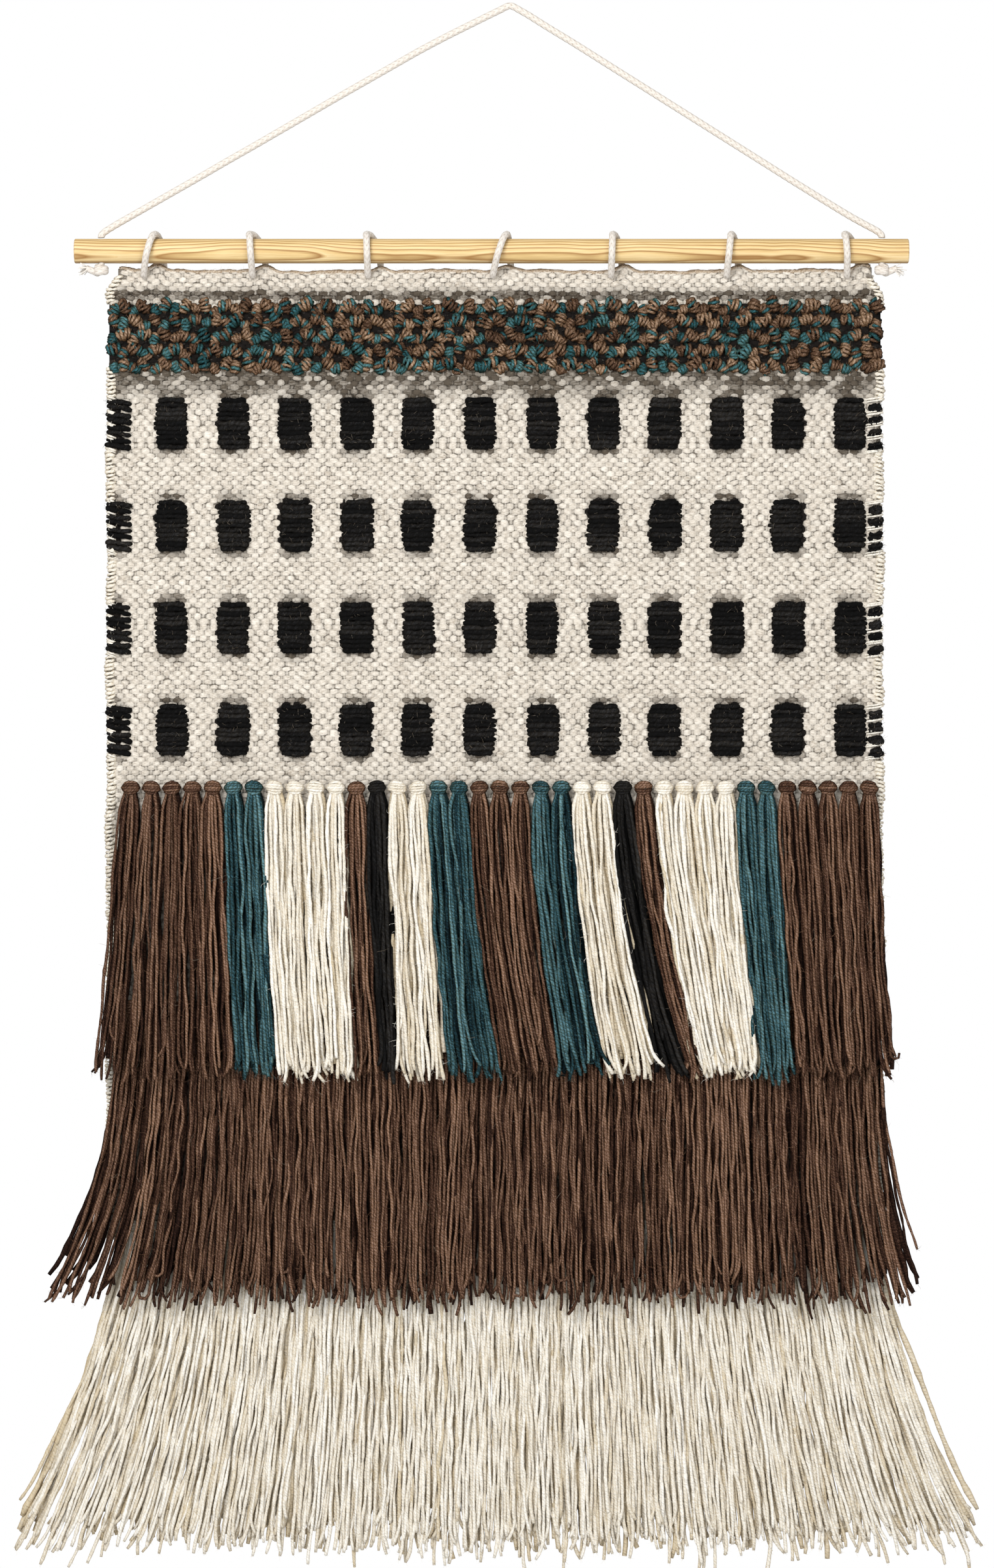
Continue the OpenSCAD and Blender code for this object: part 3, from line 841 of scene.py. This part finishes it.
def edge_wraps(yarns, side, top):
    """Pairs of binding yarn that slant across the ends of one row's black floats."""
    inner = 12 if side > 0 else 5
    x = CLOTH_X + side * (CLOTH_HALF + np.array([0.6, 1.4, 0.6, -0.3 * inner, -0.7 * inner, -inner]) * MM)
    y = CLOTH_FRONT + np.array([2.6, 0.8, -1.2, -2.0, -1.6, 0.6]) * MM
    slant = np.array([0.9, 0.4, 0, -0.9, -1.5, -2.2]) * MM
    for k in range(EDGE_WRAPS):
        for shift in (-1.4, 0.2):
            z = top - FINGER_PITCH * k + shift * MM + slant + rng.normal(0, 0.3) * MM
            wrap = through(np.stack([x, y, z], axis=1), 1.2 * MM)[None]
            add_yarn(yarns, wrap, 0.75, tint=0.8, wander=0.15)
            add_fibres(yarns, wrap, 5, 3.5, 2)


def selvedge(node, side):
    """Binding yarn wrapped round and round the cloth's edge, and across the ends of the black floats."""
    low, high = box(node)
    top = high[2] + 12 * MM
    count = int((top - low[2]) / WRAP_PITCH * POINTS_A_WRAP)
    t = np.arange(count) / POINTS_A_WRAP
    a = t * 2 * np.pi
    z = top - t * WRAP_PITCH
    reach = rng.uniform(0.8, 1.2, count)
    sway = 0.6 * MM * wave(z, 23) + 0.4 * MM * wave(z, 9, 2)
    x = CLOTH_X + side * (cloth_edge(down_of(z)) - 1.3 * MM) + 2.9 * MM * np.cos(a) * reach + sway
    y = CLOTH_FRONT + CLOTH_T / 2 + 2.3 * MM * np.sin(a) * side
    z = z + rng.normal(0, 0.3, count) * MM
    covered = (z > bobbles[-1][0][2] + 4 * MM) & (z < bobbles[0][1][2] - 4 * MM)
    for b_low, b_high in blocks:
        covered |= (z > b_low[2] + BLOCK_RIM) & (z < b_high[2] - BLOCK_RIM)
    line = np.stack([x, y, z], axis=1)
    yarns = Yarns()
    for run in np.split(np.arange(count), np.flatnonzero(np.diff(covered.astype(int))) + 1):
        if not covered[run[0]] and len(run) > 3:
            add_yarn(yarns, line[run][None], 1.2, tint=0.62, wander=0.2)
            add_fibres(yarns, line[run][None], len(run) // 3, 3.2, 1.8)
    for _, b_high in blocks:
        edge_wraps(yarns, side, b_high[2])
    return settle(yarns.object(node + "_yarn", yarn_materials["cream"]), "cloth", "binding_yarn", node)


selvedge("left_selvedge", -1)
selvedge("right_selvedge", 1)

# ---- Bobbles ----

BOBBLES_ACROSS = 76
# Each loop of a bobble: how far it is turned, its place along its bar, how wide and how deep it is
BOBBLE_LOOPS = (
    (0, -1.4, 2.2, 3.0), (0, -0.5, 2.8, 4.2), (0, 0.4, 2.9, 4.4), (0, 1.3, 2.3, 3.4),
    (1.3, 0.3, 3.9, 3.2), (-1.2, -0.4, 3.6, 2.6),
)


def bobble_loop(swirl, place, wide, deep, size, sink):
    """One loop of yarn, standing off the cloth across a bar that is turned by swirl."""
    bar = np.array([math.cos(swirl), 0, math.sin(swirl)])
    cross = np.array([-bar[2], 0, bar[0]])
    out = unit(np.array([0, -1.0, 0]) + place * 0.3 * bar)
    a = np.linspace(-0.2, 1.2, 15) * np.pi
    sideways = (np.cos(a) * (wide * size))[:, None] * cross
    outwards = (np.sin(a) * (deep * size) - sink)[:, None] * out
    along = (place * 1.8 * size + 0.7 * np.sin(a * 1.4 + place))[:, None] * bar
    return sideways + outwards + along


def bobble_row(number):
    """Balls of looped yarn side by side, brown and teal in turn, each turned its own way."""
    node = f"bobble_row_{number}"
    low, high = box(node)
    reach = CLOTH_HALF - 3.5 * MM
    x = CLOTH_X + np.linspace(-reach, reach, BOBBLES_ACROSS) + rng.normal(0, 0.6, BOBBLES_ACROSS) * MM
    brown = (np.arange(BOBBLES_ACROSS) + number) % 2 == 0
    z = (low[2] + high[2]) / 2 + (np.where(brown, 1.4, -1.8) + rng.normal(0, 0.6, BOBBLES_ACROSS)) * MM
    lines, dyes, tints = [], [], []
    for k in range(BOBBLES_ACROSS):
        lean = rng.uniform(-1.4, 1.4)
        size = rng.uniform(1.25, 1.48) if brown[k] else rng.uniform(0.98, 1.18)
        main = 0.0 if rng.random() < (0.92 if brown[k] else 0.45) else 1.0
        sink = rng.uniform(0.2, 2.2)
        tint = rng.uniform(0.3, 0.85)
        for turned, place, wide, deep in BOBBLE_LOOPS:
            swirl = lean + turned + rng.uniform(-0.3, 0.3)
            loop = bobble_loop(swirl, place, wide, deep, size, sink)
            lines.append(np.array([x[k], CLOTH_FRONT, z[k]]) + loop * MM)
            dyes.append(main if rng.random() < 0.8 else 1 - main)
            tints.append(tint + rng.normal(0, 0.08))
    lines = np.array(lines)
    yarns = Yarns()
    add_yarn(yarns, lines, 1.3, tint=np.array(tints), dye=np.array(dyes), wander=0.14, end=0.9)
    add_fibres(yarns, lines[:, 4:-4], 700, 3.0, 2.4, tint=1.4)
    if number == 1:
        fuzz_z = high[2] + 3 * MM
        fuzz = np.linspace((low[0], CLOTH_FRONT, fuzz_z), (high[0], CLOTH_FRONT, fuzz_z), 200)
        add_fibres(yarns, fuzz[None], 1800, 4, 1.6, tint=0.3)
    return settle(yarns.object(node + "_yarn", bobble_yarn), "cloth", "bobble_yarn", node)


for number in range(1, len(bobbles) + 1):
    bobble_row(number)

# ---- Black blocks ----

BLOCK_LINES = 11
LINE_PITCH = 3.4 * MM
FINGER_STRANDS = 8
LEFT_FINGERS = (CLOTH_X - 284 * MM, CLOTH_X - 266.5 * MM)
RIGHT_FINGERS = (CLOTH_X + 274 * MM, CLOTH_X + 283.2 * MM)


def block_spans(top):
    """Where each black float starts and ends, in blocks and in slanting fingers at the edges."""
    spans = []
    for k in range(BLOCKS_ACROSS):
        centre = FIRST_BLOCK + BLOCK_PITCH * k + rng.normal(0, 0.6) * MM
        for i in range(BLOCK_LINES):
            short = 2.6 * MM * math.exp(-1.1 * min(i, BLOCK_LINES - 1 - i))
            z = top - i * LINE_PITCH
            spans.append((centre - BLOCK_HALF + short, z, centre + BLOCK_HALF - short, z))
    for i in range(FINGER_STRANDS):
        finger, strand = divmod(i, 2)
        finger_z = top - finger * FINGER_PITCH
        left_z = finger_z - (1.0 + strand * 3.2) * MM
        right_z = finger_z - (4.4 + strand * 2.7) * MM
        spans.append((LEFT_FINGERS[0], left_z, LEFT_FINGERS[1], top - i * FINGER_PITCH / 2 - 2.6 * MM))
        spans.append((RIGHT_FINGERS[0], right_z - 0.8 * MM, RIGHT_FINGERS[1], right_z + 0.8 * MM))
    return np.array(spans)


def block_row(number):
    """One row of black floats, thick enough to touch, with uneven ends and loose pale hairs."""
    node = f"block_row_{number}"
    high = box(node)[1]
    spans = block_spans(high[2] - 1.9 * MM)
    n = len(spans)
    share = np.linspace(0, 1, 13)[None]
    ragged = rng.normal(0, 0.5, (2, n, 1)) * MM
    x = (spans[:, 0:1] + ragged[0]) * (1 - share) + (spans[:, 2:3] + ragged[1]) * share
    z = spans[:, 1:2] * (1 - share) + spans[:, 3:4] * share
    z = z + rng.normal(0, 0.25, (n, 1)) * MM * np.sin(np.pi * share)
    z = z + 0.3 * MM * np.sin(share * 9 + rng.uniform(0, 7, (n, 1)))
    swell = np.sin(np.pi * np.clip(share, 0.02, 0.98)) ** 0.35
    y = CLOTH_FRONT + 0.9 * MM - 2.3 * MM * swell * rng.uniform(0.8, 1.2, (n, 1))
    lines = np.stack([x, y, z], axis=-1)
    yarns = Yarns()
    add_yarn(yarns, lines, 2.15, tint=rng.uniform(0.2, 0.8, n), end=0.6)
    add_fibres(yarns, lines[:, 1:-1], 1800, 3.4, 2.2, tint=0.5, radius=0.1)
    rims = lines[np.abs(spans[:, 1] - spans[:, 1].mean()) > 4.4 * LINE_PITCH]
    add_fibres(yarns, rims[:, 2:-2], 1600, 4.5, 2.9, tint=0.5, radius=0.11)
    add_fibres(yarns, lines[:, [0, 1, -2, -1]], 1500, 2.2, 2.2, tint=0.5, radius=0.11)
    add_fibres(yarns, lines[:, 2:-2], 420, 6, 2.6, dye=1.0)
    return settle(yarns.object(node + "_yarn", yarn_materials["black"]), "cloth", "black_wool", node)


for number in range(1, len(blocks) + 1):
    block_row(number)

# ---- Fringes ----

KNOT_WRAPS = 5
KNOT_HALF = 5.7 * MM
KNOT_DEEP = 3.5 * MM
KNOT_RISE = 4 * MM


def knot_lines(x, tier):
    """The wraps of lark's-head knots: bands of yarn that bow across the front of each knot."""
    lines = []
    around = np.linspace(-1.9, 1.9, 15)
    pinch = 0.55 + 0.45 * np.cos(around)
    for centre in x:
        slant = rng.normal(0, 0.35) * MM
        for place in np.linspace(-1, 1, KNOT_WRAPS):
            round_off = math.sqrt(1 - 0.42 * place**2)
            z = TIER_Z[tier] + 0.7 * MM + place * KNOT_RISE * pinch + slant * np.sin(around)
            lines.append(np.stack([
                centre + KNOT_HALF * np.sin(around) * round_off * rng.uniform(0.96, 1.04),
                TIER_Y[tier] - KNOT_DEEP * np.cos(around) * round_off,
                z + rng.normal(0, 0.12) * MM,
            ], axis=1))
    return np.array(lines)


def knots(node, x, tier, colour, body):
    """A row of knots, of one colour, that hang a tier's tassels from the cloth."""
    lines = knot_lines(x, tier)
    yarns = Yarns()
    add_yarn(yarns, lines, 1.25, tint=rng.uniform(0.4, 0.85, len(lines)), end=0.8)
    add_fibres(yarns, lines, 14 * len(x), 3.2, 1.6)
    return settle(yarns.object(node + "_yarn", yarn_materials[colour]), body, f"{colour}_wool", node)


def by_tier(upper, middle, lower):
    return {"upper": upper, "middle": middle, "lower": lower}


FRONT, MIDDLE, BEHIND = -1.0, 0.0, 1.0
# Strands of each tassel, in its front, middle and back layer
STRANDS = by_tier((5, 5, 4), (6, 6, 6), (8, 8, 8))
LENGTH = by_tier(206 * MM, 208 * MM, 227 * MM)
UNEVEN = by_tier(4 * MM, 7 * MM, 9 * MM)
# How far each metre leans forward, how far strands stray, how late they fan out, how much they hang in locks
LEAN = by_tier(0.064, 0.064, 0.0)
LOOSE = by_tier(1.35, 1.6, 1.7)
BEND = by_tier(1.55, 2.3, 1.5)
LOCK = by_tier(0.22, 0.30, 0.36)
RING_STEP = 3.6 * MM
NECK_HALF = 7.4 * MM
HOOK_R = 3.4 * MM

drifts = rng.uniform((16, 60, 0), (60, 190, 7), (6, 3)) * (MM, MM, 1)


def drift(x, drop):
    """A sideways drift that neighbouring strands share."""
    return sum(np.sin(x / wide + drop / deep + phase) for wide, deep, phase in drifts) / len(drifts)


def draw_together(across, share, amount):
    """Draws each few neighbouring strands together towards their tips, so that they hang in locks."""
    order = np.argsort(across[:, -1])
    lock = np.empty(len(order), int)
    lock_ends = np.cumsum(rng.integers(4, 11, len(order)))
    lock[order] = np.searchsorted(lock_ends, np.arange(len(order)), side="right")
    size = np.bincount(lock)[:, None]
    centre = np.stack([np.bincount(lock, column) for column in across.T], axis=1) / size
    return across + (centre[lock] - across) * amount * share**1.5


def stray(across, drop, share, tier):
    """Moves strands sideways: together, each by itself, in locks, and curling at the tips."""
    n = len(across)
    free = LOOSE[tier] * MM * np.minimum(drop / (70 * MM), 1) ** 0.8
    across = across + free * 2.0 * drift(across, drop)
    for length in (6, 12, 26):
        size = rng.normal(0, 0.42, (n, 1)) * (length / 12) ** 0.7
        across = across + free * size * wave(drop, length, rng.uniform(0, 7, (n, 1)))
    across = across + np.where(rng.random(n) < 0.07, rng.normal(0, 6, n), 0)[:, None] * MM * share**2
    across = draw_together(across, share, LOCK[tier])
    curl = np.clip((share - 0.93) / 0.07, 0, 1) ** 2
    return across + rng.normal(0, 2.4, (n, 1)) * MM * curl, free


def hooks(drop, length, depth):
    """How far round each point has turned on the few front strands whose tips hook upwards."""
    hooked = (rng.random(len(depth)) < 0.02)[:, None] & (depth < 0)[:, None]
    straight = length[:, None] - 1.1 * np.pi * HOOK_R
    return np.where(hooked, np.maximum(drop - straight, 0) / HOOK_R, 0)


def strand_lines(x, tip_low, tip_high, tier):
    """Centre lines and layers of the strands under the knots at x, whose tips share the spans given."""
    place, depth = [], []
    for layer, count in zip((FRONT, MIDDLE, BEHIND), STRANDS[tier]):
        place.append((np.arange(count) + 0.5 + 0.25 * layer) / count * 2 - 1)
        depth.append(np.full(count, layer))
    place, depth = (np.tile(np.concatenate(v), len(x)) for v in (place, depth))
    n = len(depth)
    place = place + rng.normal(0, 0.10, n)
    top, low, high = (np.repeat(v, n // len(x)) for v in (x, tip_low, tip_high))
    length = LENGTH[tier] + rng.normal(0, 1, n) * UNEVEN[tier]
    length -= np.where(rng.random(n) < 0.05, rng.uniform(5, 24, n) * MM, 0)
    length -= np.where(depth == BEHIND, 9 * MM, 0)
    share = np.linspace(0, 1, int(LENGTH[tier] / RING_STEP))[None]
    drop = share * length[:, None]
    middle = top[:, None] + ((low + high) / 2 - top)[:, None] * share ** BEND[tier]
    neck = np.interp(drop, [0, 4 * MM, 12 * MM, 30 * MM], [3.4 * MM, 4.2 * MM, 6.6 * MM, NECK_HALF])
    across = middle + place[:, None] * (neck + ((high - low)[:, None] / 2 - NECK_HALF) * share**1.4)
    across, free = stray(across, drop, share, tier)
    squeeze = np.interp(drop, [0, 6 * MM, 20 * MM], [0.4, 0.6, 1])
    layer_y = (depth * 2.6 * MM + rng.normal(0, 0.5, n) * MM)[:, None] * squeeze
    y = TIER_Y[tier] + layer_y - LEAN[tier] * drop
    y = y + 0.9 * free * wave(drop, 9, rng.uniform(0, 7, (n, 1)))
    turned = hooks(drop, length, depth)
    side = rng.choice([-1, 1], (n, 1))
    across = across + side * HOOK_R * (1 - np.cos(turned))
    z = TIER_Z[tier] - MM - (drop - turned * HOOK_R + HOOK_R * np.sin(turned))
    return np.stack([across, y, z], axis=-1), depth


# How thick each colour's yarn is, and how many hairs a tassel of it has
THICK = {"brown": 1.25, "teal": 1.5, "cream": 1.4, "black": 1.6}
HAIRS = {"brown": 110, "teal": 150, "cream": 240, "black": 60}
PALE_HAIRS = 3


def fringe(name, x, tip_low, tip_high, tier, colour):
    """The strands of some tassels. Those behind are drawn with fewer points; all behind the front layer are
    painted darker as shade.
    """
    lines, depth = strand_lines(x, tip_low, tip_high, tier)
    # Painted shade: each layer further back gets a darker tint
    tint = rng.normal(0.64, 0.17, len(lines)) - 0.3 * (depth + 1)
    yarns = Yarns()
    seen = depth < BEHIND
    add_yarn(yarns, lines[seen], THICK[colour], tint=tint[seen])
    add_yarn(yarns, lines[~seen][:, ::2], THICK[colour] * 1.6, tint=tint[~seen])
    add_fibres(yarns, lines[depth == FRONT], HAIRS[colour] * len(x), 6, 2.8, tint=1.4)
    add_fibres(yarns, lines[seen][:, -3:], 7 * int(seen.sum()), 4, 1.7, tint=0.9)
    if colour != "cream":
        add_fibres(yarns, lines[depth == FRONT], PALE_HAIRS * len(x), 13, 4.5, dye=1.0)
    return yarns.object(name, yarn_materials[colour])


group_nodes = sorted(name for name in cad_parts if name.startswith("tassels_"))
group_colours = [name.split("_")[-1] for name in group_nodes]
GROUP_SIZES = [5, 2, 4, 1, 1, 2, 2, 3, 2, 2, 1, 1, 4, 2, 5]
knot_colour = np.repeat(group_colours, GROUP_SIZES)

for colour in THICK:
    knots(f"upper_knots_{colour}", tassel_x[knot_colour == colour], "upper", colour, "upper_fringe")

done = 0
for node, colour, size in zip(group_nodes, group_colours, GROUP_SIZES):
    x = tassel_x[done:done + size]
    done += size
    edges = np.linspace(*foot_span(node), size + 1)
    piece = fringe(node + "_yarn", x, edges[:-1], edges[1:], "upper", colour)
    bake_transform(piece)
    settle(piece, None, f"{colour}_wool", node)

SECTIONS = 8
FAN = {"middle": 5, "lower": 2.2}


def tip_edges(tier):
    """Where the tassels' feet meet: straight under the knots in the middle, fanned out towards the sides."""
    low, high = foot_span(f"{tier}_tassels")
    place = np.linspace(-1, 1, TASSELS + 1)
    half = TASSELS * TASSEL_PITCH / 2
    centre = tassel_x.mean()
    flare = np.where(place < 0, centre - half - low, high - centre - half)
    return centre + place * half + np.sign(place) * flare * np.abs(place) ** FAN[tier]


for tier, colour in (("middle", "brown"), ("lower", "cream")):
    body = f"{tier}_fringe"
    knots(f"{tier}_knots", tassel_x, tier, colour, body)
    edges = tip_edges(tier)
    for i, members in enumerate(np.array_split(np.arange(TASSELS), SECTIONS)):
        name = f"{tier}_tassels_yarn_{i + 1}"
        piece = fringe(name, tassel_x[members], edges[members], edges[members + 1], tier, colour)
        settle(piece, body, f"{colour}_wool", f"{tier}_tassels")

# ---- Light, floor and background ----

world = bpy.data.worlds.new("world")
scene.world = world
world.use_nodes = True
nodes, links = world.node_tree.nodes, world.node_tree.links
sky = nodes["Background"]
ray = nodes.new("ShaderNodeLightPath")
amount = nodes.new("ShaderNodeMapRange")
amount.inputs["To Min"].default_value = 0.6
amount.inputs["To Max"].default_value = 1.0
links.new(ray.outputs["Is Camera Ray"], amount.inputs["Value"])
links.new(amount.outputs["Result"], sky.inputs["Strength"])
sky.inputs["Color"].default_value = (1, 1, 1, 1)


def lamp(name, place, aim, size, power):
    """A large soft lamp that points at a place."""
    light = bpy.data.lights.new(name, "AREA")
    light.shape, light.size, light.energy = "DISK", size, power
    made = bpy.data.objects.new(name, light)
    made.location = place
    scene.collection.objects.link(made)
    back = np.array(place) - np.array(aim)
    yaw = math.atan2(back[0], -back[1])
    pitch = math.acos(back[2] / np.linalg.norm(back))
    made.rotation_euler = (pitch, 0, yaw)
    return made


middle_of_object = (CLOTH_X, 0, -0.6)
lamp("key", (-1.0, -2.5, 0.9), middle_of_object, 1.4, 76)
lamp("fill", (1.5, -2.6, -1.0), middle_of_object, 1.8, 34)

FLOOR_GAP = 0.12
bpy.ops.mesh.primitive_plane_add(size=1, location=(CLOTH_X, -0.8, cad_low[2] - FLOOR_GAP))
floor = bpy.context.object
floor.name = "floor"
floor.scale = (4, 2.2, 1)
floor.data.materials.append(Shader("pale_floor").finish((0.86, 0.86, 0.86, 1), 0.9))

scene.view_settings.view_transform = "Standard"
